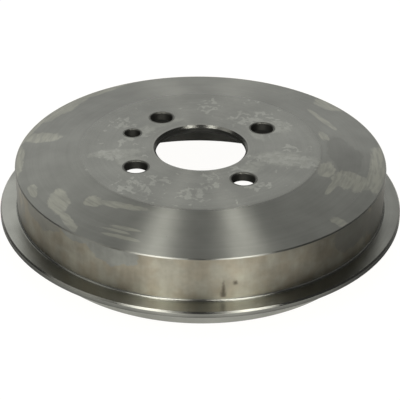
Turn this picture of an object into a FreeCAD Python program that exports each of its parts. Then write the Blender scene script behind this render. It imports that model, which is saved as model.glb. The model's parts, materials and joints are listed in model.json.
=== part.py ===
import FreeCAD
import Part
import math
import os

# Rear brake drum of a passenger car: one iron casting, turned inside and out.
# Millimetres. +Z is the axle line and points out of the closed face towards the wheel.
# The origin lies on the axle line in the plane of the open edge, on which the drum stands.
# +X runs through the middle of the first wheel bolt hole.

# Friction ring
friction_diameter = 228.6
wall_thickness = 9.0
total_height = 58.0
mouth_chamfer = 1.2

# Relief that lets the boring tool run out above the shoe track
relief_width = 2.5
relief_depth = 0.8
inner_corner_radius = 4.0

# Flange near the open end, which stiffens the ring and covers the backing plate's edge
flange_projection = 11.7
flange_thickness = 4.2
flange_underside_height = 16.8
flange_top_chamfer = 1.0
flange_bottom_chamfer = 0.4
flange_top_fillet = 1.5
flange_underside_bevel = 1.2

# Thin lip at the open edge, which runs inside the backing plate's channel.
# Above it the ring tapers out to its full wall under the flange.
lip_thickness = 3.7
lip_height = 8.5
lip_edge_chamfer = 0.6

# Face plate
face_thickness = 6.2
face_cone_drop = 7.1
face_edge_chamfer = 0.6

# Hub bore and the machined seat round it
hub_bore_diameter = 60.0
hub_bore_outer_chamfer = 1.2
hub_bore_inner_chamfer = 0.6
seat_land = 12.5
seat_step = 0.8
face_flat_margin = 9.0

# Wheel bolt holes
bolt_circle_diameter = 100.0
bolt_hole_count = 4
bolt_hole_diameter = 15.0
bolt_hole_chamfer = 0.6

# Hole of the locating screw, on the bolt circle and past the second bolt hole
locating_hole_diameter = 10.6
locating_hole_chamfer = 0.4
locating_hole_offset_deg = 35.0

# A blend takes at most this share of the shorter wall beside it
blend_share = 0.45
# How far the hole cutters reach past both sides of the face plate
cutter_overrun = 2.0
# A turned form goes once round the axle line
full_turn_deg = 360

# Radii and heights that follow from the sizes above
friction_radius = friction_diameter / 2
wall_radius = friction_radius + wall_thickness
flange_radius = wall_radius + flange_projection
lip_radius = friction_radius + lip_thickness
relief_radius = friction_radius + relief_depth
hub_bore_radius = hub_bore_diameter / 2
bolt_hole_radius = bolt_hole_diameter / 2
bolt_circle_radius = bolt_circle_diameter / 2
locating_hole_radius = locating_hole_diameter / 2
seat_radius = bolt_circle_radius + bolt_hole_radius + seat_land
face_flat_radius = seat_radius + face_flat_margin

flange_top_height = flange_underside_height + flange_thickness
face_edge_height = total_height - face_cone_drop
seat_height = total_height - face_thickness
cast_face_height = seat_height + seat_step
face_cone_slope = face_cone_drop / (wall_radius - face_flat_radius)
inner_corner_height = cast_face_height - face_cone_slope * (relief_radius - face_flat_radius)
track_top_height = inner_corner_height - inner_corner_radius - relief_width

# The axle line
axle_foot = FreeCAD.Vector(0, 0, 0)
axle = FreeCAD.Vector(0, 0, 1)


def point(radius, height):
    """A point of the drum's half section, in the XZ plane."""
    return FreeCAD.Vector(radius, 0, height)


def blend_reach(corner, before, after, wanted):
    """How far a blend may run back from a corner along both of its walls."""
    shorter = min((before - corner).Length, (after - corner).Length)
    return min(wanted, blend_share * shorter)


def chamfered(corner, before, after, size):
    """The two ends of a chamfer whose legs have the given length, and its edge."""
    reach = blend_reach(corner, before, after, size)
    start = corner + (before - corner).normalize() * reach
    end = corner + (after - corner).normalize() * reach
    return start, end, Part.LineSegment(start, end)


def rounded(corner, before, after, radius):
    """The two ends of an arc that touches both walls of a corner, and the arc."""
    to_before = (before - corner).normalize()
    to_after = (after - corner).normalize()
    half_angle = to_before.getAngle(to_after) / 2
    reach = blend_reach(corner, before, after, radius / math.tan(half_angle))
    start = corner + to_before * reach
    end = corner + to_after * reach
    bisector = (to_before + to_after).normalize()
    centre_distance = reach / math.cos(half_angle)
    arc_radius = reach * math.tan(half_angle)
    middle = corner + bisector * (centre_distance - arc_radius)
    return start, end, Part.Arc(start, middle, end)


def section_face(corners):
    """A closed half section from (point, blend function or None, blend size) corners."""
    count = len(corners)
    ends = []
    for index, (corner, blend, size) in enumerate(corners):
        before = corners[index - 1][0]
        after = corners[(index + 1) % count][0]
        if blend is None:
            ends.append((corner, corner, None))
        else:
            ends.append(blend(corner, before, after, size))
    edges = []
    for index, (_, end, curve) in enumerate(ends):
        if curve is not None:
            edges.append(curve.toShape())
        next_start = ends[(index + 1) % count][0]
        edges.append(Part.LineSegment(end, next_start).toShape())
    return Part.Face(Part.Wire(edges))


def turned_body():
    """The drum as it comes off the lathe: one revolved section with its hub bore."""
    corners = [
        (point(hub_bore_radius, total_height), chamfered, hub_bore_outer_chamfer),
        (point(face_flat_radius, total_height), None, 0),
        (point(wall_radius, face_edge_height), chamfered, face_edge_chamfer),
        (point(wall_radius, flange_top_height), rounded, flange_top_fillet),
        (point(flange_radius, flange_top_height), chamfered, flange_top_chamfer),
        (point(flange_radius, flange_underside_height), chamfered, flange_bottom_chamfer),
        (point(wall_radius, flange_underside_height), chamfered, flange_underside_bevel),
        (point(lip_radius, lip_height), None, 0),
        (point(lip_radius, 0), chamfered, lip_edge_chamfer),
        (point(friction_radius, 0), chamfered, mouth_chamfer),
        (point(friction_radius, track_top_height), None, 0),
        (point(relief_radius, track_top_height + relief_depth), None, 0),
        (point(relief_radius, inner_corner_height), rounded, inner_corner_radius),
        (point(face_flat_radius, cast_face_height), None, 0),
        (point(seat_radius + seat_step, cast_face_height), None, 0),
        (point(seat_radius, seat_height), None, 0),
        (point(hub_bore_radius, seat_height), chamfered, hub_bore_inner_chamfer),
    ]
    return section_face(corners).revolve(axle_foot, axle, full_turn_deg)


def hole_cutter(radius, chamfer, angle_deg):
    """A drill with a countersink for each side of the face plate, on the bolt circle."""
    sink = chamfer + cutter_overrun
    rim = [
        (radius + sink, seat_height - cutter_overrun),
        (radius, seat_height + chamfer),
        (radius, total_height - chamfer),
        (radius + sink, total_height + cutter_overrun),
    ]
    outline = [point(0, rim[0][1])]
    outline += [point(r, z) for r, z in rim]
    outline += [point(0, rim[-1][1]), point(0, rim[0][1])]
    section = Part.Face(Part.makePolygon(outline))
    cutter = section.revolve(axle_foot, axle, full_turn_deg)
    angle = math.radians(angle_deg)
    cutter.translate(FreeCAD.Vector(
        bolt_circle_radius * math.cos(angle),
        bolt_circle_radius * math.sin(angle),
        0,
    ))
    return cutter


def brake_drum():
    """The finished drum, with its wheel bolt holes and the locating screw's hole."""
    bolt_pitch_deg = full_turn_deg / bolt_hole_count
    cutters = []
    for index in range(bolt_hole_count):
        cutters.append(hole_cutter(bolt_hole_radius, bolt_hole_chamfer, index * bolt_pitch_deg))
    locating_angle_deg = bolt_pitch_deg + locating_hole_offset_deg
    cutters.append(hole_cutter(locating_hole_radius, locating_hole_chamfer, locating_angle_deg))
    return turned_body().cut(cutters)


os.makedirs("parts", exist_ok=True)
drum = brake_drum()
print("valid", drum.isValid(), "solids", len(drum.Solids), "volume", round(drum.Volume), "mm3")
box = drum.optimalBoundingBox(False, False)
print("size", round(box.XLength, 2), round(box.YLength, 2), round(box.ZLength, 2))
print("shoe track from", round(mouth_chamfer, 2), "to", round(track_top_height, 2))
drum.exportStep("parts/brake_drum.step")
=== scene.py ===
"""The looks of a turned iron brake drum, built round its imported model.

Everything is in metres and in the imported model's frame. +Z is the axle line and points out of the
closed face, +X runs through the first wheel bolt hole, and the drum stands on its open edge.
"""
import json
import logging
import math
from dataclasses import dataclass
from enum import Enum, IntEnum
from typing import Any

import bpy
from mathutils import Matrix, Quaternion, Vector


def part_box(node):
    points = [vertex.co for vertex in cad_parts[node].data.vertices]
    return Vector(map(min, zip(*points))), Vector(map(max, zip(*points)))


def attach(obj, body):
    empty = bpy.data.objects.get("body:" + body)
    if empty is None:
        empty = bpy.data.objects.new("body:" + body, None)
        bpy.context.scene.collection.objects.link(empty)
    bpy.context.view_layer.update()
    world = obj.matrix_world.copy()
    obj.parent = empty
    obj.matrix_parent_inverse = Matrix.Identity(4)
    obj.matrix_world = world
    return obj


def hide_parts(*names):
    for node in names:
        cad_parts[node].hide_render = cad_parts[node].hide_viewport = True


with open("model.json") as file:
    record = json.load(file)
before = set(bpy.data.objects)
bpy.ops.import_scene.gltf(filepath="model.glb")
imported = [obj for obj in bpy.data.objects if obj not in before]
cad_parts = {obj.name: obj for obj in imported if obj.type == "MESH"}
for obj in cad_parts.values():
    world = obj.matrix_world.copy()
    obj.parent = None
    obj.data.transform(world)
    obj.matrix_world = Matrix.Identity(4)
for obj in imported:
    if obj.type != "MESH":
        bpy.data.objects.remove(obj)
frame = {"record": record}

Color = tuple[float, float, float]
Node = bpy.types.Node

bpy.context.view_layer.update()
CAD_NODE = "brake_drum"
MM = 0.001
# The azimuth of the photograph's camera, from which marks and lights are placed
CAMERA_SIDE_DEG = 236.75

LOG = logging.getLogger(CAD_NODE)


class Cut(IntEnum):
    """The cuts that leave the drum's surfaces, each with a section of its own."""

    OUTSIDE = 0
    TRACK = 1
    CAST_SKIN = 2
    SEAT = 3
    HUB_BORE = 4
    BOLT_HOLE = 5
    LOCATING_HOLE = 6


class Axis(Enum):
    """The line that a cutting tool's grooves run round."""

    AXLE = "axle"
    OWN_HOLE = "own hole"


@dataclass(frozen=True)
class Corner:
    """A corner of a turned section.

    Attributes:
        radius: Distance from the section's axis, in mm.
        height: Height above the open edge, in mm.
        blend: Radius of the round that breaks the corner, in mm.
    """

    radius: float
    height: float
    blend: float = 0.0


@dataclass(frozen=True)
class Step:
    """A soft step of a value.

    Attributes:
        low: The value where the step begins.
        high: The value where it ends.
        start: What it gives before it begins.
        end: What it gives past its end.
    """

    low: float
    high: float
    start: float = 0.0
    end: float = 1.0


@dataclass(frozen=True)
class Span:
    """A range of a value with soft ends.

    Attributes:
        low: The middle of its lower end.
        high: The middle of its upper end.
        edge: Half the width of the soft ends.
    """

    low: float
    high: float
    edge: float = 0.1


@dataclass(frozen=True)
class Cells:
    """Noise that is the same in all directions.

    Attributes:
        size: The size of its cells, in mm.
        detail: Its octaves.
        rough: How much the finer octaves count.
    """

    size: float
    detail: float = 3.0
    rough: float = 0.5


@dataclass(frozen=True)
class Lines:
    """Noise that runs round an axis in long lines.

    Attributes:
        per_mm: Noise cells for each mm across the lines.
        round_turn: How fast the lines change round the axis.
        detail: Its octaves.
    """

    per_mm: float
    round_turn: float
    detail: float = 2.0


@dataclass(frozen=True)
class Smear:
    """A blob on the drum's surface, as an ellipsoid.

    Attributes:
        azimuth: Where it lies round the axle, in degrees from the camera's side.
        radius: Its middle's distance from the axle line, in mm.
        height: Its middle's height, in mm.
        reach: Its half sizes outwards, round the axle and up, in mm.
        turn: How far it turns round the vertical, in degrees.
    """

    azimuth: float
    radius: float
    height: float
    reach: tuple[float, float, float]
    turn: float = 0.0

    @property
    def middle(self) -> tuple[float, float, float]:
        """Its middle in the part's frame, in mm."""
        angle = math.radians(CAMERA_SIDE_DEG + self.azimuth)
        return (self.radius * math.cos(angle), self.radius * math.sin(angle), self.height)

    @property
    def rotation(self) -> tuple[float, float, float]:
        """Its turn in the part's frame, as Euler angles."""
        return (0.0, 0.0, math.radians(CAMERA_SIDE_DEG + self.azimuth + self.turn))


@dataclass(frozen=True)
class Zone:
    """A zone of blobs whose outlines a noise bends.

    Attributes:
        smears: The blobs.
        edge: How soft their outlines are, as a share of a blob.
        cells: The noise that bends the outlines.
        bend: How far it bends them, as a share of a blob.
    """

    smears: tuple[Smear, ...]
    edge: float = 0.07
    cells: Cells = Cells(8.0)
    bend: float = 0.45


class Graph:
    """Adds nodes to one node tree and links them by socket name or place."""

    def __init__(self, tree: bpy.types.NodeTree) -> None:
        """Keeps the tree.

        Args:
            tree: The node tree that gets the nodes.
        """
        self.tree = tree

    @staticmethod
    def socket(sockets: Any, key: int | str) -> bpy.types.NodeSocket:
        """Finds a socket.

        Args:
            sockets: A node's inputs or outputs.
            key: The socket's place, or its name.

        Returns:
            The socket at that place, or the first one in use with that name.
        """
        if isinstance(key, int):
            return sockets[key]
        return next(found for found in sockets if found.enabled and found.name == key)

    def add(
        self, kind: str, inputs: dict[int | str, Any] | None = None, **options: Any
    ) -> Node:
        """Adds a node.

        Args:
            kind: The node's type name.
            inputs: Values, sockets or nodes for its inputs, by name or place.
            **options: The node's own options.

        Returns:
            The new node.
        """
        node = self.tree.nodes.new(kind)
        for name, value in options.items():
            setattr(node, name, value)
        for key, value in (inputs or {}).items():
            target = self.socket(node.inputs, key)
            if isinstance(value, Node):
                value = next(out for out in value.outputs if out.enabled)
            if isinstance(value, bpy.types.NodeSocket):
                self.tree.links.new(value, target)
            else:
                target.default_value = value
        return node

    def out(self, node: Node, key: int | str) -> bpy.types.NodeSocket:
        """The output of a node with that name or place."""
        return self.socket(node.outputs, key)


class ShaderGraph(Graph):
    """A graph for materials and the world, with short forms for what they use most."""

    def math(self, operation: str, *values: Any) -> Node:
        """A Math node on the given values or sockets."""
        return self.add("ShaderNodeMath", dict(enumerate(values)), operation=operation)

    def product(self, first: Any, *others: Any) -> Any:
        """The product of numbers.

        Args:
            first: The first number.
            *others: The other numbers.

        Returns:
            The product.
        """
        for other in others:
            first = self.math("MULTIPLY", first, other)
        return first

    def rest(self, share: Any) -> Node:
        """What a share leaves of 1."""
        return self.math("SUBTRACT", 1.0, share)

    def vector_math(self, operation: str, *values: Any) -> Node:
        """A Vector Math node on the given values or sockets."""
        return self.add("ShaderNodeVectorMath", dict(enumerate(values)), operation=operation)

    def length(self, vector: Any) -> bpy.types.NodeSocket:
        """The length of a vector."""
        return self.out(self.vector_math("LENGTH", vector), "Value")

    def dot(self, first: Any, second: Any) -> bpy.types.NodeSocket:
        """The dot product of two vectors."""
        return self.out(self.vector_math("DOT_PRODUCT", first, second), "Value")

    def flattened(self, vector: Any) -> Node:
        """A vector without its height."""
        return self.vector_math("MULTIPLY", vector, (1.0, 1.0, 0.0))

    def height_of(self, vector: Any) -> bpy.types.NodeSocket:
        """A vector's height."""
        return self.out(self.add("ShaderNodeSeparateXYZ", {0: vector}), "Z")

    def step(self, value: Any, step: Step) -> Node:
        """A soft step of a value.

        Args:
            value: The value.
            step: Where the step lies and what it gives.

        Returns:
            The node that gives it.
        """
        limits = {"From Min": step.low, "From Max": step.high}
        results = {"To Min": step.start, "To Max": step.end}
        return self.add(
            "ShaderNodeMapRange",
            {"Value": value, **limits, **results},
            interpolation_type="SMOOTHSTEP",
        )

    def within(self, value: Any, span: Span) -> Node:
        """The share of a range.

        Args:
            value: The value.
            span: The range.

        Returns:
            1 where the value lies in the range.
        """
        rise = Step(span.low - span.edge, span.low + span.edge)
        fall = Step(span.high + span.edge, span.high - span.edge)
        return self.product(self.step(value, rise), self.step(value, fall))

    def noise(self, place: Any, detail: float, rough: float = 0.5) -> bpy.types.NodeSocket:
        """Noise with one cell for each unit of the given place."""
        settings = {"Scale": 1.0, "Detail": detail, "Roughness": rough}
        return self.add("ShaderNodeTexNoise", {"Vector": place, **settings}).outputs[0]

    def mix(self, share: Any, first: Any, second: Any) -> bpy.types.NodeSocket:
        """The first colour, or the second one where the share is 1."""
        inputs = {"Factor": share, "A": first, "B": second}
        return self.out(self.add("ShaderNodeMix", inputs, data_type="RGBA"), "Result")

    def shaded(self, colour: Any, factor: Any) -> Node:
        """A colour or vector times a factor."""
        return self.add("ShaderNodeVectorMath", {0: colour, 3: factor}, operation="SCALE")


class IronGraph(ShaderGraph):
    """A graph for iron that a tool has cut, with coordinates in mm that follow the tool."""

    def __init__(self, tree: bpy.types.NodeTree, axis: Axis) -> None:
        """Adds the coordinates.

        Args:
            tree: The material's node tree.
            axis: The line that the tool's grooves run round.
        """
        super().__init__(tree)
        metres = self.out(self.add("ShaderNodeTexCoord"), "Object")
        self.position = self.shaded(metres, 1.0 / MM)
        self.height = self.height_of(self.position)
        level = self.flattened(self.position)
        self.radius = self.length(level)
        if axis is Axis.AXLE:
            self.outward = self.vector_math("NORMALIZE", level)
            self.travel = self.math("SUBTRACT", self.radius, self.height)
        else:
            normal = self.out(self.add("ShaderNodeNewGeometry"), "Normal")
            self.outward = self.vector_math("NORMALIZE", self.flattened(normal))
            self.travel = self.height
        self.tangent = self.vector_math("CROSS_PRODUCT", (0.0, 0.0, 1.0), self.outward)

    def lines(self, lines: Lines, travel: Any = None) -> Any:
        """Noise that runs round the axis in long lines.

        Args:
            lines: The noise.
            travel: What the lines follow, where that isn't the tool's travel.

        Returns:
            The noise, from 0 to 1.
        """
        around = self.shaded(self.outward, lines.round_turn)
        followed = self.travel if travel is None else travel
        across = self.product(followed, lines.per_mm)
        place = self.vector_math("ADD", around, self.add("ShaderNodeCombineXYZ", {"Z": across}))
        return self.noise(place, lines.detail)

    def cells(self, cells: Cells, place: Any = None) -> Any:
        """Noise that is the same in all directions.

        Args:
            cells: The noise.
            place: Where it is read, where that isn't the point itself.

        Returns:
            The noise, from 0 to 1.
        """
        read = self.position if place is None else place
        return self.noise(self.shaded(read, 1.0 / cells.size), cells.detail, cells.rough)

    def centred(self, noise: Any, reach: float) -> Node:
        """A noise that swings by the given reach to both sides of 0."""
        return self.product(self.math("SUBTRACT", noise, 0.5), 2.0 * reach)

    def around_one(self, noise: Any, reach: float) -> Node:
        """A noise that swings by the given reach to both sides of 1."""
        return self.math("ADD", self.centred(noise, reach), 1.0)

    def zone(self, zone: Zone, wiped: Any = 0.0) -> Node:
        """The share of a zone.

        Args:
            zone: The zone.
            wiped: A field that moves its outlines further out where it is positive.

        Returns:
            1 in the zone and 0 outside.
        """
        bend = self.math("ADD", self.centred(self.cells(zone.cells), zone.bend), wiped)
        depth: Any = -1.0
        for smear in zone.smears:
            place = {"Location": smear.middle, "Rotation": smear.rotation, "Scale": smear.reach}
            own = self.add(
                "ShaderNodeMapping", {"Vector": self.position, **place}, vector_type="TEXTURE"
            )
            depth = self.math("MAXIMUM", depth, self.rest(self.length(own)))
        return self.step(self.math("ADD", depth, bend), Step(-zone.edge, zone.edge))


@dataclass(frozen=True)
class Iron:
    """Grey iron with the grooves that a cutting tool leaves.

    Attributes:
        name: The material's name.
        color: The bare metal's colour.
        roughness: The roughness across the grooves.
        anisotropy: How much smoother it is along them.
        groove_depth: The depth of the visible grooves, in mm.
        axis: The line that the grooves run round.
        rings: Rings where the tool left the metal lighter or darker.
        ring_swing: How much lighter or darker they are.
        stains: Broad clouds of lighter and darker metal.
        stain_swing: How much lighter or darker they are.
        finish: Rings where the cut is rougher or finer.
        finish_swing: How much their roughness changes.
        grooves: The grooves themselves.
        shine_turn: The turn of the shine from the tangent, as a share of a full turn.
    """

    name: str
    color: Color
    roughness: float
    anisotropy: float
    groove_depth: float
    axis: Axis = Axis.AXLE
    rings: Lines = Lines(0.5, 0.8, 3.0)
    ring_swing: float = 0.09
    stains: Cells = Cells(18.0, 5.0)
    stain_swing: float = 0.20
    finish: Lines = Lines(0.9, 1.2)
    finish_swing: float = 0.05
    grooves: Lines = Lines(1.6, 0.6, 3.0)
    shine_turn: float = 0.25

    def colour(self, graph: IronGraph) -> Any:
        """The metal's colour, a little darker and lighter in rings and clouds.

        Args:
            graph: The material's graph.

        Returns:
            The colour.
        """
        rings = graph.around_one(graph.lines(self.rings), self.ring_swing)
        stains = graph.around_one(graph.cells(self.stains), self.stain_swing)
        return graph.shaded(graph.shaded(self.color, rings), stains)

    def polish(self, graph: IronGraph) -> Any:
        """The roughness, which changes a little from groove to groove."""
        swing = graph.centred(graph.lines(self.finish), self.finish_swing)
        return graph.math("ADD", swing, self.roughness)

    def relief(self, graph: IronGraph) -> Any:
        """The height of the surface's fine shape, from 0 to 1."""
        return graph.lines(self.grooves)

    def make(self) -> bpy.types.Material:
        """Builds the finish.

        Returns:
            The material.
        """
        material = bpy.data.materials.new(self.name)
        material.use_nodes = True
        material.node_tree.nodes.clear()
        graph = IronGraph(material.node_tree, self.axis)
        bump = graph.add(
            "ShaderNodeBump",
            {"Strength": 1.0, "Distance": self.groove_depth * MM, "Height": self.relief(graph)},
        )
        metal = graph.add(
            "ShaderNodeBsdfPrincipled",
            {
                "Base Color": self.colour(graph),
                "Metallic": 1.0,
                "Roughness": self.polish(graph),
                "Anisotropic": self.anisotropy,
                "Anisotropic Rotation": self.shine_turn,
                "Tangent": graph.tangent,
                "Normal": bump,
            },
        )
        graph.add("ShaderNodeOutputMaterial", {"Surface": metal})
        return material


@dataclass(frozen=True)
class TurnedOutside(Iron):
    """The turned outside, with its films of oil, handling marks and a stain.

    Heights and radii are in mm. A tint multiplies the bare metal's colour, a color replaces it.
    """

    name: str = "turned_outside"
    color: Color = (0.262, 0.265, 0.238)
    roughness: float = 0.30
    anisotropy: float = 0.97
    groove_depth: float = 0.003

    cone_foot: Step = Step(50.9, 51.2)
    flat_start: Step = Step(57.5, 57.9)
    flat_finish: Step = Step(57.7, 57.95)
    # Painted shade: the flat middle is darkened.
    flat_painted_shade: Step = Step(57.5, 57.95, 1.0, 0.92)
    flange_finish: Step = Step(22.6, 22.4)
    finer_cut: float = 0.08
    dull_ring: Span = Span(22.5, 50.2)
    film_dullness: float = 0.10

    rim: Span = Span(17.2, 19.9)
    rim_radius: Step = Step(134.4, 134.6)
    # Painted shade: the upright rim darkens towards its foot.
    rim_painted_shade: Step = Step(17.2, 19.9, 0.62, 0.95)
    flange_top: Span = Span(20.2, 21.3)
    # Partly cleaner metal, partly painted light: the flange's top is lighter in a zone towards the
    # lit front and darker on the dark right.
    flange_clean_and_sheen: Step = Step(0.0, 1.0, 0.84, 1.42)
    flange_clean_and_lit: Zone = Zone((Smear(-20, 100, 20, (120, 175, 40)),), edge=0.2, bend=0.0)

    # Painted highlight: the edge rounds are lightened so that their glints come out brighter.
    edge_highlight_tint: Color = (1.13, 1.12, 1.12)
    highlight_edges: tuple[tuple[Span, Step], ...] = (
        (Span(50.3, 51.0, 0.06), Step(119.95, 120.05)),
        (Span(21.1, 22.5, 0.06), Step(122.95, 123.05)),
        (Span(20.0, 21.0, 0.06), Step(133.95, 134.05)),
    )

    film_tint: Color = (1.50, 1.48, 1.39)
    film_thin: Step = Step(0.35, 0.6, 0.45, 1.0)
    film_streaks: Lines = Lines(0.5, 9.0, 4.0)
    wiping: Lines = Lines(0.28, 7.0, 4.0)
    wiping_bend: float = 0.25
    face_films: Zone = Zone(
        (
            Smear(-124, 118, 52, (7, 24, 8)),
            Smear(-100.5, 111, 53, (14, 7, 8)),
            Smear(-86, 122, 51, (4.5, 22, 8)),
            Smear(-108, 121.5, 51, (2.6, 40, 8)),
            Smear(-141, 119.5, 52, (3.6, 28, 8)),
            Smear(-54, 109, 53, (6.5, 13, 8), turn=-26),
            Smear(-43, 117, 53, (3, 12, 8), turn=-20),
            Smear(-65, 117, 53, (3, 8, 8), turn=-10),
            Smear(-36, 89, 56, (2.8, 19, 8), turn=16),
            Smear(-45, 94, 56, (5, 6, 8)),
            Smear(-25, 113, 53, (1.5, 13, 8), turn=3),
            Smear(-28, 109, 53, (1.1, 9, 8), turn=4),
            Smear(-26, 105, 54, (1.5, 11, 8), turn=6),
            Smear(46, 118, 52, (6, 4, 8)),
            Smear(81, 118, 52, (7, 33, 8)),
            Smear(69, 104, 54, (13, 11, 8)),
            Smear(62, 95.5, 55, (2.4, 13, 8)),
            Smear(72, 86, 56, (5.5, 10, 8)),
            Smear(119, 96.5, 55, (2.4, 18, 8)),
            Smear(102, 85.5, 56, (3, 8, 8)),
            Smear(130, 117, 52, (6, 12, 8)),
        ),
        edge=0.14,
        cells=Cells(8.0, 5.0, 0.6),
        bend=0.62,
    )
    face_bare: Zone = Zone(
        (
            Smear(86, 106.5, 53, (6, 21, 8)),
            Smear(90, 93, 55, (14, 15, 8)),
        ),
        edge=0.12,
        cells=Cells(8.0, 5.0, 0.6),
        bend=0.62,
    )
    # A darker patch on the cone.
    dark_patch_shade: Step = Step(0.0, 1.0, 1.0, 0.87)
    face_dark_patch: Zone = Zone(
        (
            Smear(84, 98, 54, (10, 20, 8)),
            Smear(90, 92, 55, (8, 22, 8)),
        ),
        edge=0.12,
        cells=Cells(10.0, 4.0, 0.6),
        bend=0.5,
    )

    smear_tint: Color = (1.25, 1.25, 1.23)
    smear_cells: Cells = Cells(3.0, 4.0, 0.6)
    smear_thin: Step = Step(0.3, 0.6, 0.35, 1.0)
    flat_smears: Zone = Zone(
        (
            Smear(-80, 56, 58, (19, 5, 4)),
            Smear(-122, 44, 58, (5, 9, 4)),
            Smear(-66, 50, 58, (9, 9, 4)),
            Smear(-145, 41, 58, (3.5, 12, 4)),
            Smear(116, 42, 58, (4, 10, 4)),
            Smear(52, 43, 58, (6, 9, 4)),
            Smear(74, 60, 58, (21, 9, 4)),
            Smear(120, 60, 58, (8, 10, 4)),
        ),
        edge=0.3,
        cells=Cells(9.0, 4.0, 0.6),
        bend=0.6,
    )

    mark_tint: Color = (1.34, 1.34, 1.33)
    mark_limit: float = 0.65
    mark_help: float = 0.15
    mark_edge: Step = Step(-0.02, 0.045)
    mark_waves: Cells = Cells(9.0, 2.0)
    mark_wave_reach: float = 9.0
    crinkles: Cells = Cells(5.2, 5.0, 0.6)
    handling: Zone = Zone(
        (
            Smear(71, 58, 58, (24, 9, 9)),
            Smear(-121, 62, 58, (9, 10, 9)),
            Smear(-99, 50, 58, (8, 6, 9)),
            Smear(-120, 42, 58, (5, 12, 9)),
            Smear(-80, 58, 58, (12, 8, 9)),
            Smear(-38, 67, 58, (8, 19, 9)),
            Smear(-30, 53, 58, (6, 9, 9)),
            Smear(-6, 61, 58, (9, 11, 9)),
            Smear(8, 49, 58, (12, 7, 9)),
            Smear(35, 62, 58, (6, 10, 9)),
            Smear(40, 42, 58, (7, 9, 9)),
            Smear(88, 64, 58, (10, 5, 9)),
            Smear(128, 60, 58, (10, 22, 9)),
            Smear(142, 47, 58, (8, 12, 9)),
            Smear(175, 60, 58, (11, 7, 9)),
        ),
        edge=0.5,
        cells=Cells(14.0),
        bend=0.9,
    )

    wall_film_color: Color = (0.355, 0.340, 0.276)
    wall_brown_color: Color = (0.325, 0.297, 0.231)
    wall_grey_color: Color = (0.30, 0.305, 0.275)
    wall_ring: Span = Span(22.4, 50.3, 0.08)
    wall_film_left: Step = Step(0.0, 1.0, 1.0, 0.32)
    # Painted shade: the film darkens towards the wall's foot above the flange.
    wall_foot_painted_shade: Step = Step(26.0, 44.0, 0.92, 1.0)
    brown_cells: Cells = Cells(11.0, 2.0)
    brown_step: Step = Step(0.35, 0.65)
    cloud_cells: Cells = Cells(15.0, 3.0, 0.6)
    cloud_swing: float = 0.45
    runs: Lines = Lines(0.05, 45.0, 3.0)
    run_swing: float = 0.10
    wall_grey: Zone = Zone(
        (
            Smear(-25.5, 123, 49, (12, 17, 10)),
            Smear(-38, 123, 51, (12, 12, 5)),
        )
    )
    wall_bare: Zone = Zone(
        (
            Smear(-53, 123, 50.5, (12, 20, 10)),
            Smear(51, 123, 44, (12, 22, 13)),
            Smear(90, 123, 40, (60, 70, 40)),
            Smear(-100, 123, 40, (60, 70, 40)),
        )
    )

    stain_color: Color = (0.07, 0.06, 0.045)
    stain_strength: float = 0.8
    stain_ring: Span = Span(23.5, 50.3, 0.5)
    speck_cells: Cells = Cells(1.3, 2.0)
    speck_step: Step = Step(0.76, 0.80, 0.0, 0.5)
    wall_stain: Zone = Zone(
        (
            Smear(6.6, 123, 27.5, (6, 1.0, 6)),
            Smear(6.6, 123, 25.5, (6, 1.5, 3)),
            Smear(9.9, 123, 33.3, (6, 1.3, 1.4)),
        ),
        edge=0.8,
        cells=Cells(1.2),
        bend=0.5,
    )

    def bare_edges_and_highlight(self, graph: IronGraph) -> Any:
        """The share of edge rounds that are left bare of film and lightened as a painted highlight.

        Args:
            graph: The material's graph.

        Returns:
            1 on those edges.
        """
        share: Any = 0.0
        for heights, outside in self.highlight_edges:
            level = graph.within(graph.height, heights)
            edge = graph.product(level, graph.step(graph.radius, outside))
            share = graph.math("MAXIMUM", share, edge)
        return share

    def on_rim(self, graph: IronGraph) -> Any:
        """The share of the flange's upright rim."""
        level = graph.within(graph.height, self.rim)
        return graph.product(level, graph.step(graph.radius, self.rim_radius))

    def polish(self, graph: IronGraph) -> Any:
        """The roughness: the flat middle and the flange are cut finer, ring and rim are dull.

        Args:
            graph: The material's graph.

        Returns:
            The roughness.
        """
        rim = self.on_rim(graph)
        flat = graph.step(graph.height, self.flat_finish)
        flange = graph.math("SUBTRACT", graph.step(graph.height, self.flange_finish), rim)
        finer = graph.product(graph.math("MAXIMUM", flat, flange), -self.finer_cut)
        dull = graph.math("MAXIMUM", graph.within(graph.height, self.dull_ring), rim)
        duller = graph.product(dull, self.film_dullness)
        return graph.math("ADD", super().polish(graph), graph.math("ADD", finer, duller))

    def flange_light(self, graph: IronGraph) -> Any:
        """How much lighter the flange's top is, as cleaner metal and painted sheen towards the lit
        front, and how much darker its rim is, as painted shade.

        Args:
            graph: The material's graph.

        Returns:
            A factor, 1 away from the flange.
        """
        rim = self.on_rim(graph)
        shine = graph.step(graph.zone(self.flange_clean_and_lit), self.flange_clean_and_sheen)
        level = graph.within(graph.height, self.flange_top)
        top = graph.math("ADD", graph.product(graph.math("SUBTRACT", shine, 1.0), level), 1.0)
        upright = graph.product(rim, graph.step(graph.height, self.rim_painted_shade))
        return graph.math("ADD", upright, graph.product(graph.rest(rim), top))

    def face_light(self, graph: IronGraph) -> Any:
        """How much darker the face's flat middle is, as painted shade, and how much darker a patch
        on its cone is.

        Args:
            graph: The material's graph.

        Returns:
            A factor, 1 away from them.
        """
        cone = graph.step(graph.height, self.cone_foot)
        dark_patch = graph.product(graph.zone(self.face_dark_patch), cone)
        flat = graph.step(graph.height, self.flat_painted_shade)
        return graph.product(graph.step(dark_patch, self.dark_patch_shade), flat)

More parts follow.
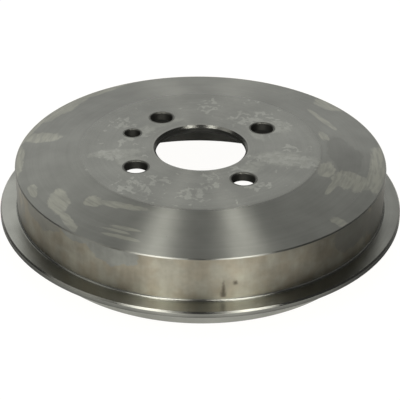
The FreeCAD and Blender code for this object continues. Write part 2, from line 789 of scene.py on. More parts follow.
    def films(self, graph: IronGraph) -> Any:
        """The share of oil film on the face's cone, wiped thin in streaks round the axle.

        Args:
            graph: The material's graph.

        Returns:
            1 where the film is whole.
        """
        wiped = graph.centred(graph.lines(self.wiping), self.wiping_bend)
        bare = graph.zone(self.face_bare, wiped)
        left = graph.math("SUBTRACT", graph.zone(self.face_films, wiped), bare)
        thin = graph.step(graph.lines(self.film_streaks), self.film_thin)
        cone = graph.step(graph.height, self.cone_foot)
        return graph.product(graph.math("MAXIMUM", left, 0.0), thin, cone)

    def flat_films(self, graph: IronGraph) -> Any:
        """The share of the soft smears on the face's flat middle.

        Args:
            graph: The material's graph.

        Returns:
            1 where a smear is whole.
        """
        thin = graph.step(graph.cells(self.smear_cells), self.smear_thin)
        flat = graph.step(graph.height, self.flat_start)
        return graph.product(graph.zone(self.flat_smears), thin, flat)

    def handled(self, graph: IronGraph) -> Any:
        """The share of crinkled marks on the face's flat middle.

        Args:
            graph: The material's graph.

        Returns:
            1 in the marks, which are denser where hands held the drum.
        """
        helped = graph.product(graph.zone(self.handling), self.mark_help)
        limit = graph.math("SUBTRACT", self.mark_limit, helped)
        wavy = graph.shaded(graph.cells(self.mark_waves), self.mark_wave_reach)
        stretched = graph.vector_math("ADD", graph.position, wavy)
        above = graph.math("SUBTRACT", graph.cells(self.crinkles, stretched), limit)
        flat = graph.step(graph.height, self.flat_start)
        return graph.product(graph.step(above, self.mark_edge), flat)

    def wall_film(self, graph: IronGraph) -> Any:
        """The share of the beige film on the ring's outside."""
        left = graph.step(graph.zone(self.wall_bare), self.wall_film_left)
        return graph.product(left, graph.within(graph.height, self.wall_ring))

    def film_colour(self, graph: IronGraph) -> Any:
        """The beige film's colour, with runs down the ring, brown clouds, a grey patch and painted
        shade that darkens it towards the wall's foot.

        Args:
            graph: The material's graph.

        Returns:
            The colour.
        """
        runs = graph.around_one(graph.lines(self.runs, graph.height), self.run_swing)
        clouds = graph.around_one(graph.cells(self.cloud_cells), self.cloud_swing)
        brown = graph.step(graph.cells(self.brown_cells), self.brown_step)
        beige, browner = (*self.wall_film_color, 1.0), (*self.wall_brown_color, 1.0)
        tinted = graph.mix(brown, beige, browner)
        tinted = graph.mix(graph.zone(self.wall_grey), tinted, (*self.wall_grey_color, 1.0))
        foot = graph.step(graph.height, self.wall_foot_painted_shade)
        return graph.shaded(graph.shaded(tinted, runs), graph.product(clouds, foot))

    def colour(self, graph: IronGraph) -> Any:
        """The metal's colour under its films, marks and stain.

        Args:
            graph: The material's graph.

        Returns:
            The colour.
        """
        # Painted shade on the flat middle, and a darker patch on the cone.
        bare = graph.shaded(super().colour(graph), self.face_light(graph))
        coated: Any = bare
        for share, tint in (
            (self.films(graph), self.film_tint),
            (self.flat_films(graph), self.smear_tint),
            (self.handled(graph), self.mark_tint),
        ):
            coated = graph.mix(share, coated, graph.vector_math("MULTIPLY", bare, tint))
        walled = graph.mix(self.wall_film(graph), coated, self.film_colour(graph))
        # Painted sheen and shade on the flange.
        rimmed = graph.shaded(walled, self.flange_light(graph))
        # Painted highlight on the bare edge rounds.
        edge_highlight_colour = graph.vector_math("MULTIPLY", bare, self.edge_highlight_tint)
        edged = graph.mix(self.bare_edges_and_highlight(graph), rimmed, edge_highlight_colour)
        specks = graph.step(graph.cells(self.speck_cells), self.speck_step)
        above = graph.within(graph.height, self.stain_ring)
        stain = graph.product(graph.zone(self.wall_stain), above, self.stain_strength)
        dark = graph.math("MAXIMUM", specks, stain)
        return graph.mix(dark, edged, (*self.stain_color, 1.0))


@dataclass(frozen=True)
class BoredTrack(Iron):
    """The bored shoe track and the turned seats inside."""

    name: str = "bored_track"
    color: Color = (0.25, 0.25, 0.225)
    roughness: float = 0.3
    anisotropy: float = 0.9
    groove_depth: float = 0.005


@dataclass(frozen=True)
class DrilledWall(Iron):
    """The walls and edge bevels of the hub bore and the holes."""

    name: str = "drilled_wall"
    color: Color = (0.26, 0.26, 0.235)
    roughness: float = 0.25
    anisotropy: float = 0.85
    groove_depth: float = 0.003
    axis: Axis = Axis.OWN_HOLE


@dataclass(frozen=True)
class BoltHoleWall(DrilledWall):
    """The walls of the small holes, rough as a dull drill left them and darkened as painted shade.
    """

    name: str = "bolt_hole_wall"
    # Painted shade: a dark colour that damps the glints in the holes and on their chamfers.
    color: Color = (0.13, 0.13, 0.115)
    roughness: float = 0.45
    anisotropy: float = 0.6


@dataclass(frozen=True)
class CastSkin(Iron):
    """The inner side that stays as the sand mould left it."""

    name: str = "cast_skin"
    color: Color = (0.11, 0.105, 0.095)
    roughness: float = 0.55
    anisotropy: float = 0.0
    groove_depth: float = 0.25
    grains: Cells = Cells(1.8, 4.0, 0.6)

    def relief(self, graph: IronGraph) -> Any:
        """The grains of the sand mould."""
        return graph.cells(self.grains)


@dataclass(frozen=True)
class DrumSection:
    """The drum's half section, in mm, with the small rounds that break its corners.

    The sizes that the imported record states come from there. The hub bore's chamfers are wider
    than the solid's, which eases the dark edge round it.
    """

    hub_radius: float
    bolt_circle_radius: float
    bolt_hole_radius: float
    bolt_hole_count: int
    locating_radius: float
    locating_angle: float
    track_radius: float
    track_top: float
    total_height: float
    flange_radius: float
    wall_thickness: float = 9.0
    face_thickness: float = 6.2
    seat_step: float = 0.8
    face_flat_radius: float = 79.0
    seat_radius: float = 70.0
    face_cone_drop: float = 7.1
    hub_chamfer: float = 1.5
    inner_chamfer: float = 2.4
    mouth_chamfer: float = 1.2
    hole_chamfer: float = 0.6
    locating_chamfer: float = 0.4
    relief_depth: float = 0.8
    relief_land: float = 0.5
    flange_thickness: float = 4.2
    flange_underside: float = 16.8
    flange_chamfer: float = 1.0
    flange_bottom_chamfer: float = 0.4
    flange_bevel: float = 1.2
    lip_thickness: float = 3.7
    lip_height: float = 8.5
    lip_chamfer: float = 0.6
    cone_blend: float = 15.0
    face_edge_chamfer: float = 0.6
    face_edge_round: float = 0.15
    wall_foot_round: float = 1.5
    inner_corner_round: float = 4.0
    fine_round: float = 0.25
    land: float = 1.0
    face_land: float = 4.0

    @classmethod
    def from_record(cls, record: dict[str, Any]) -> "DrumSection":
        """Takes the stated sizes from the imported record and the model's box.

        Args:
            record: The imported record.

        Returns:
            The section.
        """
        mounts = {mount["name"]: mount for mount in record["mounts"]}
        track = mounts["shoe_track"]
        pattern = mounts["wheel_bolts"]["dims"]
        screw = mounts["locating_screw"]
        low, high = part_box(CAD_NODE)
        screw_x, screw_y, _ = screw["pos_m"]
        return cls(
            hub_radius=mounts["hub_bore"]["dims"]["r_mm"],
            bolt_circle_radius=pattern["pcd_mm"] / 2,
            bolt_hole_radius=pattern["hole_r_mm"],
            bolt_hole_count=pattern["count"],
            locating_radius=screw["dims"]["r_mm"],
            locating_angle=math.atan2(screw_y, screw_x),
            track_radius=track["dims"]["r_mm"],
            track_top=track["pos_m"][2] / MM + track["dims"]["length_mm"] / 2,
            total_height=(high.z - low.z) / MM,
            flange_radius=(high.x - low.x) / 2 / MM,
        )

    @property
    def wall_radius(self) -> float:
        """The outside of the ring."""
        return self.track_radius + self.wall_thickness

    @property
    def seat_height(self) -> float:
        """The turned seat on the inside of the face plate."""
        return self.total_height - self.face_thickness

    @property
    def flange_top(self) -> float:
        """The flange's upper side."""
        return self.flange_underside + self.flange_thickness

    @property
    def lip_radius(self) -> float:
        """The outside of the lip at the open edge."""
        return self.track_radius + self.lip_thickness

    @property
    def face_edge(self) -> tuple[Corner, Corner]:
        """The chamfer between the face's cone and the ring.

        Returns:
            Its two corners.
        """
        edge = self.total_height - self.face_cone_drop
        run = self.wall_radius - self.face_flat_radius
        share = self.face_edge_chamfer / math.hypot(run, self.face_cone_drop)
        inner = Corner(
            self.wall_radius - run * share, edge + self.face_cone_drop * share,
            self.face_edge_round,
        )
        outer = Corner(self.wall_radius, edge - self.face_edge_chamfer, self.face_edge_round)
        return inner, outer

    @property
    def open_edge_middle(self) -> Corner:
        """The middle of the open edge.

        Returns:
            The corner where the outside and the inside meet.
        """
        outer = self.lip_radius - self.lip_chamfer
        inner = self.track_radius + self.mouth_chamfer
        return Corner((outer + inner) / 2, 0.0)

    def outside(self) -> list[Corner]:
        """The outer section, from the face's flat middle to the open edge.

        Returns:
            Its corners.
        """
        top, foot = self.total_height, self.flange_top
        under, rim = self.flange_underside, self.flange_radius
        fine = self.fine_round
        return [
            Corner(self.face_flat_radius - self.face_land, top),
            Corner(self.face_flat_radius, top, self.cone_blend),
            *self.face_edge,
            Corner(self.wall_radius, foot, self.wall_foot_round),
            Corner(rim - self.flange_chamfer, foot, fine),
            Corner(rim, foot - self.flange_chamfer, fine),
            Corner(rim, under + self.flange_bottom_chamfer, fine),
            Corner(rim - self.flange_bottom_chamfer, under, fine),
            Corner(self.wall_radius, under, self.flange_bevel),
            Corner(self.lip_radius, self.lip_height, fine),
            Corner(self.lip_radius, self.lip_chamfer, fine),
            Corner(self.lip_radius - self.lip_chamfer, 0.0, fine),
            self.open_edge_middle,
        ]

    @property
    def relief_radius(self) -> float:
        """The groove above the shoe track, where the boring tool runs out."""
        return self.track_radius + self.relief_depth

    @property
    def relief_middle(self) -> Corner:
        """The middle of the relief's wall, where the track ends and the cast skin begins."""
        start = self.track_top + self.relief_depth
        return Corner(self.relief_radius, start + self.relief_land)

    @property
    def seat_step_middle(self) -> Corner:
        """The middle of the step round the hub's seat."""
        half = self.seat_step / 2
        return Corner(self.seat_radius + half, self.seat_height + half)

    def track(self) -> list[Corner]:
        """The bored section, from the open edge to the relief.

        Returns:
            Its corners.
        """
        fine = self.fine_round
        return [
            self.open_edge_middle,
            Corner(self.track_radius + self.mouth_chamfer, 0.0, fine),
            Corner(self.track_radius, self.mouth_chamfer, fine),
            Corner(self.track_radius, self.track_top, fine),
            Corner(self.relief_radius, self.track_top + self.relief_depth, fine),
            self.relief_middle,
        ]

    def cast_skin(self) -> list[Corner]:
        """The inner section that stays as it was cast, from the relief to the seat.

        Returns:
            Its corners.
        """
        cast = self.seat_height + self.seat_step
        slope = self.face_cone_drop / (self.wall_radius - self.face_flat_radius)
        corner_height = cast - slope * (self.relief_radius - self.face_flat_radius)
        return [
            self.relief_middle,
            Corner(self.relief_radius, corner_height, self.inner_corner_round),
            Corner(self.face_flat_radius, cast, self.cone_blend),
            Corner(self.seat_radius + self.seat_step, cast, self.fine_round),
            self.seat_step_middle,
        ]

    def seat(self) -> list[Corner]:
        """The rim of the hub's seat.

        Returns:
            Its corners.
        """
        return [
            self.seat_step_middle,
            Corner(self.seat_radius, self.seat_height, self.fine_round),
            Corner(self.seat_radius - self.land, self.seat_height),
        ]

    def bore(self, radius: float, outer: float, inner: float) -> list[Corner]:
        """A hole through the face plate, from its seat to its outer side.

        Args:
            radius: The hole's radius.
            outer: The chamfer on the outer side.
            inner: The chamfer on the seat's side.

        Returns:
            The hole's section.
        """
        top, seat, fine = self.total_height, self.seat_height, self.fine_round
        return [
            Corner(radius + inner + self.land, seat),
            Corner(radius + inner, seat, fine),
            Corner(radius, seat + inner, fine),
            Corner(radius, top - outer, fine),
            Corner(radius + outer, top, fine),
            Corner(radius + outer + self.land, top),
        ]

    def cuts(self) -> dict[Cut, list[Corner]]:
        """Lists the sections.

        Returns:
            Each cut's section.
        """
        return {
            Cut.OUTSIDE: self.outside(),
            Cut.TRACK: self.track(),
            Cut.CAST_SKIN: self.cast_skin(),
            Cut.SEAT: self.seat(),
            Cut.HUB_BORE: self.bore(self.hub_radius, self.hub_chamfer, self.inner_chamfer),
            Cut.BOLT_HOLE: self.bore(
                self.bolt_hole_radius, self.hole_chamfer, self.hole_chamfer
            ),
            Cut.LOCATING_HOLE: self.bore(
                self.locating_radius, self.locating_chamfer, self.locating_chamfer
            ),
        }


class Lathe(Graph):
    """The Geometry Nodes that turn the drum's sections, drill it and close it."""

    INPUTS = (
        ("Geometry", "NodeSocketGeometry"),
        ("Steps round the axle", "NodeSocketInt"),
        ("Steps round a hole", "NodeSocketInt"),
        ("Steps in a blend", "NodeSocketInt"),
        ("Bolt holes", "NodeSocketInt"),
        ("Bolt circle radius", "NodeSocketFloat"),
        ("Locating hole angle", "NodeSocketFloat"),
        ("Path radius", "NodeSocketFloat"),
        ("Weld distance", "NodeSocketFloat"),
        ("Face height", "NodeSocketFloat"),
        ("Seat height", "NodeSocketFloat"),
    )
    TURNED = (Cut.OUTSIDE, Cut.TRACK, Cut.CAST_SKIN, Cut.SEAT, Cut.HUB_BORE)

    def __init__(self) -> None:
        """Makes the tree with its named inputs, and rounds the sections' corners."""
        super().__init__(bpy.data.node_groups.new("turned_drum", "GeometryNodeTree"))
        sockets = self.tree.interface
        for name, kind in self.INPUTS:
            sockets.new_socket(name=name, in_out="INPUT", socket_type=kind)
        sockets.new_socket(name="Geometry", in_out="OUTPUT", socket_type="NodeSocketGeometry")
        self.given = self.add("NodeGroupInput").outputs
        self.cut = self.attribute("cut", "INT")
        self.rounded = self.add(
            "GeometryNodeFilletCurve",
            {
                "Curve": self.add("GeometryNodeMeshToCurve", {"Mesh": self.given["Geometry"]}),
                "Count": self.given["Steps in a blend"],
                "Radius": self.attribute("blend", "FLOAT"),
                "Limit Radius": True,
            },
            mode="POLY",
        )

    def attribute(self, name: str, kind: str) -> Node:
        """A named attribute of the given type."""
        return self.add("GeometryNodeInputNamedAttribute", {"Name": name}, data_type=kind)

    def same(self, first: Any, second: Any) -> Node:
        """1 where two whole numbers are the same."""
        options = {"data_type": "INT", "operation": "EQUAL"}
        return self.add("FunctionNodeCompare", {"A": first, "B": second}, **options)

    def joined(self, *parts: Node) -> Node:
        """Joins parts.

        Args:
            *parts: The nodes that make them.

        Returns:
            The joined parts.
        """
        join = self.add("GeometryNodeJoinGeometry")
        for part in parts:
            self.tree.links.new(part.outputs[0], join.inputs[0])
        return join

    def welded(self, part: Node) -> Node:
        """A part whose points in one place are merged."""
        distance = self.given["Weld distance"]
        return self.add("GeometryNodeMergeByDistance", {"Geometry": part, "Distance": distance})

    def moved(self, part: Node, kind: str, **place: bpy.types.NodeSocket) -> Node:
        """A part after a move along or a turn round the part's axes.

        Args:
            part: The part.
            kind: The transform's input, Translation or Rotation.
            **place: The move or turn, by axis.

        Returns:
            The moved part.
        """
        change = self.add("ShaderNodeCombineXYZ", place)
        return self.add("GeometryNodeTransform", {"Geometry": part, kind: change})

    def marked(self, which: Cut, part: Node) -> Node:
        """A part whose faces say which cut left them."""
        return self.add(
            "GeometryNodeStoreNamedAttribute",
            {"Geometry": part, "Name": "left_by", "Value": int(which)},
            data_type="INT",
            domain="FACE",
        )

    def swept(self, which: Cut, steps: str) -> Node:
        """Sweeps one cut's section round its own axis.

        Args:
            which: The cut.
            steps: The input that holds the number of steps.

        Returns:
            The swept surface.
        """
        profile = self.add(
            "GeometryNodeSeparateGeometry",
            {"Geometry": self.rounded, "Selection": self.same(self.cut, int(which))},
            domain="POINT",
        )
        path = self.add(
            "GeometryNodeCurvePrimitiveCircle",
            {"Resolution": self.given[steps], "Radius": self.given["Path radius"]},
            mode="RADIUS",
        )
        surface = self.add(
            "GeometryNodeCurveToMesh",
            {"Curve": self.out(path, "Curve"), "Profile Curve": profile},
        )
        return self.marked(which, surface)

    def holes(self) -> tuple[Node, Node]:
        """Drills the face.

        Returns:
            The bolt holes in their circle, and the locating hole.
        """
        radius = self.given["Bolt circle radius"]
        bolt_hole = self.swept(Cut.BOLT_HOLE, "Steps round a hole")
        spots = self.add(
            "GeometryNodeMeshCircle",
            {"Vertices": self.given["Bolt holes"], "Radius": radius},
            fill_type="NONE",
        )
        bolt_holes = self.add(
            "GeometryNodeInstanceOnPoints", {"Points": spots, "Instance": bolt_hole}
        )
        locating_hole = self.swept(Cut.LOCATING_HOLE, "Steps round a hole")
        on_circle = self.moved(locating_hole, "Translation", X=radius)
        angle = self.given["Locating hole angle"]
        return bolt_holes, self.moved(on_circle, "Rotation", Z=angle)

    def walls(self) -> Node:
        """Sweeps all cuts and welds them, still open at the face and at the seat.

        Returns:
            The open mesh.
        """
        turned = [self.swept(which, "Steps round the axle") for which in self.TURNED]
        joined = self.joined(*turned, *self.holes())
        return self.welded(self.add("GeometryNodeRealizeInstances", {"Geometry": joined}))

    def plate(self, walls: Node, level: str) -> Node:
        """Fills the open loops at one level with a drilled flat face.

        Args:
            walls: The open mesh.
            level: The input that holds the level.

        Returns:
            The face.
        """
        position = self.add("GeometryNodeInputPosition")
        height = self.out(self.add("ShaderNodeSeparateXYZ", {0: position}), "Z")
        at_level = self.add(
            "FunctionNodeCompare",
            {"A": height, "B": self.given[level], "Epsilon": self.given["Weld distance"]},
            data_type="FLOAT",
            operation="EQUAL",
        )
        open_edge = self.same(self.add("GeometryNodeInputMeshEdgeNeighbors"), 1)
        both = self.add("FunctionNodeBooleanMath", {0: open_edge, 1: at_level}, operation="AND")
        loops = self.add("GeometryNodeMeshToCurve", {"Mesh": walls, "Selection": both})
        filled = self.add("GeometryNodeFillCurve", {"Curve": loops})
        return self.moved(filled, "Translation", Z=self.given[level])

    def finish(self, finishes: dict[Cut, bpy.types.Material]) -> bpy.types.NodeTree:
        """Closes the drum and dresses what each cut left.

        Args:
            finishes: The material that each cut leaves.

        Returns:
            The node tree.
        """
        walls = self.walls()
        face = self.plate(walls, "Face height")
        seat = self.add("GeometryNodeFlipFaces", {"Mesh": self.plate(walls, "Seat height")})
        closed = self.joined(self.marked(Cut.OUTSIDE, face), self.marked(Cut.SEAT, seat), walls)
        smooth = self.add("GeometryNodeSetShadeSmooth", {"Geometry": self.welded(closed)})
        dressed = self.add("GeometryNodeRealizeInstances", {"Geometry": smooth})
        left_by = self.attribute("left_by", "INT")
        for which, finish in finishes.items():
            chosen = {"Selection": self.same(left_by, int(which)), "Material": finish}
            dressed = self.add("GeometryNodeSetMaterial", {"Geometry": dressed, **chosen})
        self.add("NodeGroupOutput", {"Geometry": dressed})
        return self.tree


@dataclass
class BrakeDrum:
    """The casting: its turned sections swept round the axle line, with the drilled face."""

    section: DrumSection
    steps_round_axle: int = 480
    steps_round_hole: int = 96
    steps_in_blend: int = 5
    path_radius: float = 1.0 * MM
    weld: float = 0.002 * MM

    def section_mesh(self) -> bpy.types.Mesh:
        """Draws the sections as chains of edges, with the attributes that the tree reads.

        Returns:
            The mesh of edges.
        """
        points: list[tuple[float, float, float]] = []
        edges: list[tuple[int, int]] = []
        blends: list[float] = []
        cuts: list[int] = []
        for cut, corners in self.section.cuts().items():
            first = len(points)
            for corner in corners:
                points.append(
                    (corner.radius * MM - self.path_radius, -corner.height * MM, 0.0)
                )
                blends.append(corner.blend * MM)
                cuts.append(int(cut))
            edges += [(i, i + 1) for i in range(first, len(points) - 1)]
        mesh = bpy.data.meshes.new("sections")
        mesh.from_pydata(points, edges, [])
        mesh.attributes.new("blend", "FLOAT", "POINT").data.foreach_set("value", blends)
        mesh.attributes.new("cut", "INT", "POINT").data.foreach_set("value", cuts)
        return mesh

    def build(self, finishes: dict[Cut, bpy.types.Material]) -> bpy.types.Object:
        """Makes the drum's mesh.

        Args:
            finishes: The material that each cut leaves.

        Returns:
            The finished piece, with no live modifier.
        """
        drawing = bpy.data.objects.new("section_drawing", self.section_mesh())
        bpy.context.scene.collection.objects.link(drawing)
        lathe = drawing.modifiers.new("lathe", "NODES")
        lathe.node_group = Lathe().finish(finishes)
        values = {
            "Steps round the axle": self.steps_round_axle,
            "Steps round a hole": self.steps_round_hole,
            "Steps in a blend": self.steps_in_blend,
            "Bolt holes": self.section.bolt_hole_count,
            "Bolt circle radius": self.section.bolt_circle_radius * MM,
            "Locating hole angle": self.section.locating_angle,
            "Path radius": self.path_radius,
            "Weld distance": self.weld,
            "Face height": self.section.total_height * MM,
            "Seat height": self.section.seat_height * MM,
        }
        for item in lathe.node_group.interface.items_tree:
            if item.in_out == "INPUT" and item.name in values:
                lathe[item.identifier] = values[item.name]
        drawing.modifiers.new("face_normals", "WEIGHTED_NORMAL")
        depsgraph = bpy.context.evaluated_depsgraph_get()
        mesh = bpy.data.meshes.new_from_object(
            drawing.evaluated_get(depsgraph), preserve_all_data_layers=True, depsgraph=depsgraph
        )
        bpy.data.objects.remove(drawing)
        mesh.name = "turned_drum"
        piece = bpy.data.objects.new("turned_drum", mesh)
        bpy.context.scene.collection.objects.link(piece)
        return piece


@dataclass(frozen=True)
class PhotoCamera:
    """The photograph's camera, as fitted to the drum's edges.

    Pixels are those of the 400 by 400 frame, counted from the middle of its first pixel.
    """

    frame_pixels: int = 400
    focal_pixels: float = 1222.5
    sensor_width: float = 36.0
    distance: float = 0.81467
    azimuth_deg: float = CAMERA_SIDE_DEG
    elevation_deg: float = 28.80
    roll_deg: float = 0.52
    face_centre_pixel: tuple[float, float] = (200.32, 146.31)

    def build(self, face_centre: Vector) -> bpy.types.Object:
        """Makes the camera.

        Args:
            face_centre: The middle of the drum's face.

        Returns:
            The scene's camera.
        """
        azimuth = math.radians(self.azimuth_deg)
        elevation = math.radians(self.elevation_deg)
        back = Vector(
            (
                math.cos(azimuth) * math.cos(elevation),
                math.sin(azimuth) * math.cos(elevation),
                math.sin(elevation),
            )
        )
        middle = (self.frame_pixels - 1) / 2
        across = (self.face_centre_pixel[0] - middle) / self.focal_pixels
        down = (self.face_centre_pixel[1] - middle) / self.focal_pixels
        ray = Vector((across, -down, -1.0)).normalized()
        aim = (-back).to_track_quat("-Z", "Y")
        roll = Quaternion((0.0, 0.0, 1.0), math.radians(self.roll_deg))
        offset = ray.rotation_difference(Vector((0.0, 0.0, -1.0)))
        lens = bpy.data.cameras.new("photo_camera")
        lens.sensor_width = self.sensor_width
        lens.lens = self.focal_pixels * self.sensor_width / self.frame_pixels
        camera = bpy.data.objects.new("photo_camera", lens)
        camera.matrix_world = Matrix.LocRotScale(
            face_centre + back * self.distance, aim @ roll @ offset, None
        )
        bpy.context.scene.collection.objects.link(camera)
        bpy.context.scene.camera = camera
        return camera


@dataclass(frozen=True)
class Softbox:
    """A soft rectangular lamp that faces the drum.

    Attributes:
        name: The lamp's name.
        place: Where it hangs: towards the camera, to the camera's right and up from the drum.
        width: Its size across.
        length: Its size towards the camera and down.
        glow: How bright it looks, where white paper in full light is 1.
        color: The light's colour.
    """

    name: str
    place: tuple[float, float, float]
    width: float
    length: float
    glow: float
    color: Color = (1.0, 0.985, 0.95)

    def build(self) -> bpy.types.Object:
        """Makes the lamp.

        Returns:
            The lamp, out of the camera's sight.
        """
        light = bpy.data.lights.new(self.name, "AREA")
        light.shape = "RECTANGLE"
        light.size = self.width
        light.size_y = self.length
        light.color = self.color
        light.energy = self.glow * math.pi * self.width * self.length
        to_part = Matrix.Rotation(math.radians(CAMERA_SIDE_DEG), 3, "Z")
        away = (to_part @ Vector(self.place)).normalized()
        along = to_part @ Vector((1.0, 0.0, 0.0))
        across = along.cross(away).normalized()
        turn = Matrix((across, away.cross(across), away)).transposed()
        lamp = bpy.data.objects.new(self.name, light)
        lamp.matrix_world = Matrix.LocRotScale(to_part @ Vector(self.place), turn, None)
        lamp.visible_camera = False
        bpy.context.scene.collection.objects.link(lamp)
        return lamp


@dataclass(frozen=True)
class Studio:
    """The pale floor, the pale backdrop and the lamps.

    The camera sees an even white. The metal sees a floor and a backdrop with light and dark
    zones, whose steps are measured in metres from the axle line and give how bright they are.
    """

    floor_reach: float = 20.0
    floor_paper: float = 0.06
    floor_white: float = 0.98
    floor_tone: Color = (1.0, 0.99, 0.97)
    # Painted shadow of the drum: the floor's glow inside it.
    painted_inside_shadow: float = 0.06
    # Painted shade: the glow falls off to both sides of the camera, more on the right.
    left_side: Step = Step(-0.17, -0.07, 0.82, 1.05)
    right_side: Step = Step(0.11, 0.165, 1.05, 0.22)
    back_side: Step = Step(0.03, -0.12, 0.0, 0.75)
    near_left: Step = Step(-0.105, -0.125)
    near_right: Step = Step(0.09, 0.13)
    # Painted shadow of the drum close to its sides.
    painted_drum_shadow: Step = Step(0.158, 0.180, 0.88, 0.0)
    drum_edge: Step = Step(0.116, 0.119)
    backdrop: float = 0.80
    backdrop_rise: Step = Step(0.17, 0.71, 0.88, 1.27)
    backdrop_turn_deg: float = 8.0
    backdrop_half_deg: tuple[float, float] = (9.0, 45.0)
    backdrop_top_deg: tuple[float, float] = (41.5, 62.0)
    surroundings: float = 0.05
    horizon: float = 0.45
    horizon_deg: tuple[float, float] = (2.0, 12.0)
    room: float = 0.5
    boxes: tuple[Softbox, ...] = (
        Softbox("left_softbox", (1.87, -0.81, 1.49), 0.70, 2.0, 5.2),
        Softbox("right_softbox", (1.87, 0.81, 1.49), 0.68, 2.0, 5.2),
        Softbox("left_strip", (0.0, -0.43, 2.0), 0.26, 1.2, 5.5),
        Softbox("right_strip", (0.0, 0.43, 2.0), 0.26, 1.2, 5.5),
        Softbox("left_fill", (0.55, -1.75, 1.60), 1.5, 1.2, 0.75),
    )

    def seen_white(self, graph: ShaderGraph) -> Node:
        """Tells what the camera sees itself, or through something clear.

        Args:
            graph: The graph of the floor's material or the world.

        Returns:
            1 for what it sees.
        """
        rays = graph.add("ShaderNodeLightPath")
        seen = graph.out(rays, "Is Camera Ray")
        return graph.math("MAXIMUM", seen, graph.out(rays, "Is Transmission Ray"))

    def floor_light(self, graph: ShaderGraph) -> Node:
        """How bright the metal sees the floor.

        The floor's glow falls off to both sides of the camera, more on the right, as painted shade.
        A painted shadow of the drum darkens it close to its sides and inside the drum.

        Args:
            graph: The floor material's graph.

        Returns:
            The brightness, where 1 is white.
        """
        place = graph.out(graph.add("ShaderNodeTexCoord"), "Object")
        side = math.radians(CAMERA_SIDE_DEG + 90.0)
        rightward = graph.dot(place, (math.cos(side), math.sin(side), 0.0))
        forward = graph.dot(place, (math.sin(side), -math.cos(side), 0.0))
        distance = graph.length(place)
        left = graph.step(rightward, self.left_side)
        right = graph.step(rightward, self.right_side)
        back = graph.step(forward, self.back_side)
        open_floor = graph.math("MAXIMUM", graph.math("MINIMUM", left, right), back)
        near_left = graph.step(rightward, self.near_left)
        beside = graph.math("MAXIMUM", near_left, graph.step(rightward, self.near_right))
        # Painted shadow of the drum on the floor's glow.
        shade = graph.product(graph.step(distance, self.painted_drum_shadow), beside)
        outside = graph.product(graph.step(distance, self.drum_edge), graph.rest(shade))
        return graph.math("MAXIMUM", graph.product(open_floor, outside), self.painted_inside_shadow)

    def floor_paint(self) -> bpy.types.Material:
        """Makes the floor's material, which is clear from below.

        Returns:
            The material.
        """
        material = bpy.data.materials.new("white_floor")
        material.use_nodes = True
        material.node_tree.nodes.clear()
        graph = ShaderGraph(material.node_tree)
        white = self.seen_white(graph)
        for_camera = graph.product(white, self.floor_white)
        for_metal = graph.product(graph.rest(white), self.floor_light(graph))
        glow = graph.math("ADD", for_camera, for_metal)
        paper_color = (self.floor_paper,) * 3 + (1.0,)
        paper = graph.add("ShaderNodeBsdfDiffuse", {"Color": paper_color})
        shine = graph.add(
            "ShaderNodeEmission", {"Color": (*self.floor_tone, 1.0), "Strength": glow}
        )
        both = graph.add("ShaderNodeAddShader", {0: paper, 1: shine})
        clear = graph.add("ShaderNodeBsdfTransparent")
        under = graph.out(graph.add("ShaderNodeNewGeometry"), "Backfacing")
        surface = graph.add("ShaderNodeMixShader", {0: under, 1: both, 2: clear})
        graph.add("ShaderNodeOutputMaterial", {"Surface": surface})
        return material

    def floor(self) -> bpy.types.Object:
        """Makes the floor that the drum stands on.

        Returns:
            The floor.
        """
        reach = self.floor_reach
        corners = [(-reach, -reach, 0), (reach, -reach, 0), (reach, reach, 0), (-reach, reach, 0)]
        mesh = bpy.data.meshes.new("floor")
        mesh.from_pydata(corners, [], [(0, 1, 2, 3)])
        mesh.materials.append(self.floor_paint())
        floor = bpy.data.objects.new("floor", mesh)
        bpy.context.scene.collection.objects.link(floor)
        return floor

    def backdrop_light(self, graph: ShaderGraph) -> Node:
        """How bright the metal sees the backdrop and the dim room round it.

        Args:
            graph: The world's graph.

        Returns:
            The brightness, where 1 is white.
        """
        direction = graph.out(graph.add("ShaderNodeTexCoord"), "Generated")
        up = graph.height_of(direction)
        level = graph.vector_math("NORMALIZE", graph.flattened(direction))
        behind = math.radians(CAMERA_SIDE_DEG + 180.0 + self.backdrop_turn_deg)
        aligned = graph.dot(level, (math.cos(behind), math.sin(behind), 0.0))
        full, gone = (math.cos(math.radians(angle)) for angle in self.backdrop_half_deg)
        top, above = (math.sin(math.radians(angle)) for angle in self.backdrop_top_deg)
        low, high = (math.sin(math.radians(angle)) for angle in self.horizon_deg)
        width = graph.step(aligned, Step(gone, full))
        height = graph.step(up, Step(above, top))
        rise = graph.step(up, self.backdrop_rise)
        room = graph.step(up, Step(low, high, self.horizon, self.surroundings))
        sheet = graph.product(width, height, rise, self.backdrop)
        return graph.math("MAXIMUM", sheet, room)

    def world(self) -> None:
        """Puts a pale backdrop behind the drum, in a dim room."""
        world = bpy.data.worlds.new("studio")
        world.use_nodes = True
        world.node_tree.nodes.clear()
        graph = ShaderGraph(world.node_tree)
        glossy = graph.out(graph.add("ShaderNodeLightPath"), "Is Glossy Ray")
        for_metal = graph.product(glossy, self.backdrop_light(graph))
        for_rest = graph.product(graph.rest(glossy), self.room)
        unseen = graph.math("ADD", for_metal, for_rest)
        strength = graph.math("MAXIMUM", unseen, self.seen_white(graph))
        air = graph.add("ShaderNodeBackground", {"Color": (1, 1, 1, 1), "Strength": strength})
        graph.add("ShaderNodeOutputWorld", {"Surface": air})
        bpy.context.scene.world = world

    def lamps(self) -> None:
        """Hangs the softboxes."""
        for box in self.boxes:
            box.build()


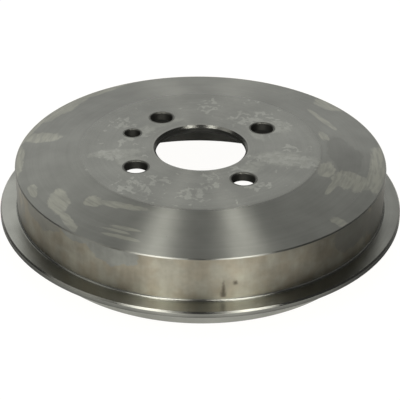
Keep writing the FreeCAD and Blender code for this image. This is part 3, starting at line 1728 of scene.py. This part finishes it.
def main() -> None:
    """Builds the drum and its studio, and logs the drum's face count."""
    logging.basicConfig(level=logging.INFO, format="%(name)s: %(message)s")
    section = DrumSection.from_record(frame["record"])
    turned, bored = TurnedOutside().make(), BoredTrack().make()
    drilled, small_hole, cast = DrilledWall().make(), BoltHoleWall().make(), CastSkin().make()
    finishes = {
        Cut.OUTSIDE: turned,
        Cut.TRACK: bored,
        Cut.CAST_SKIN: cast,
        Cut.SEAT: bored,
        Cut.HUB_BORE: drilled,
        Cut.BOLT_HOLE: small_hole,
        Cut.LOCATING_HOLE: small_hole,
    }
    drum = BrakeDrum(section).build(finishes)
    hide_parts(CAD_NODE)
    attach(drum, "root")
    LOG.info("%s has %d faces", drum.name, len(drum.data.polygons))
    studio = Studio()
    studio.floor()
    studio.world()
    studio.lamps()
    PhotoCamera().build(Vector((0.0, 0.0, section.total_height * MM)))
    bpy.context.scene.view_settings.view_transform = "Standard"


if __name__ == "__main__":
    main()
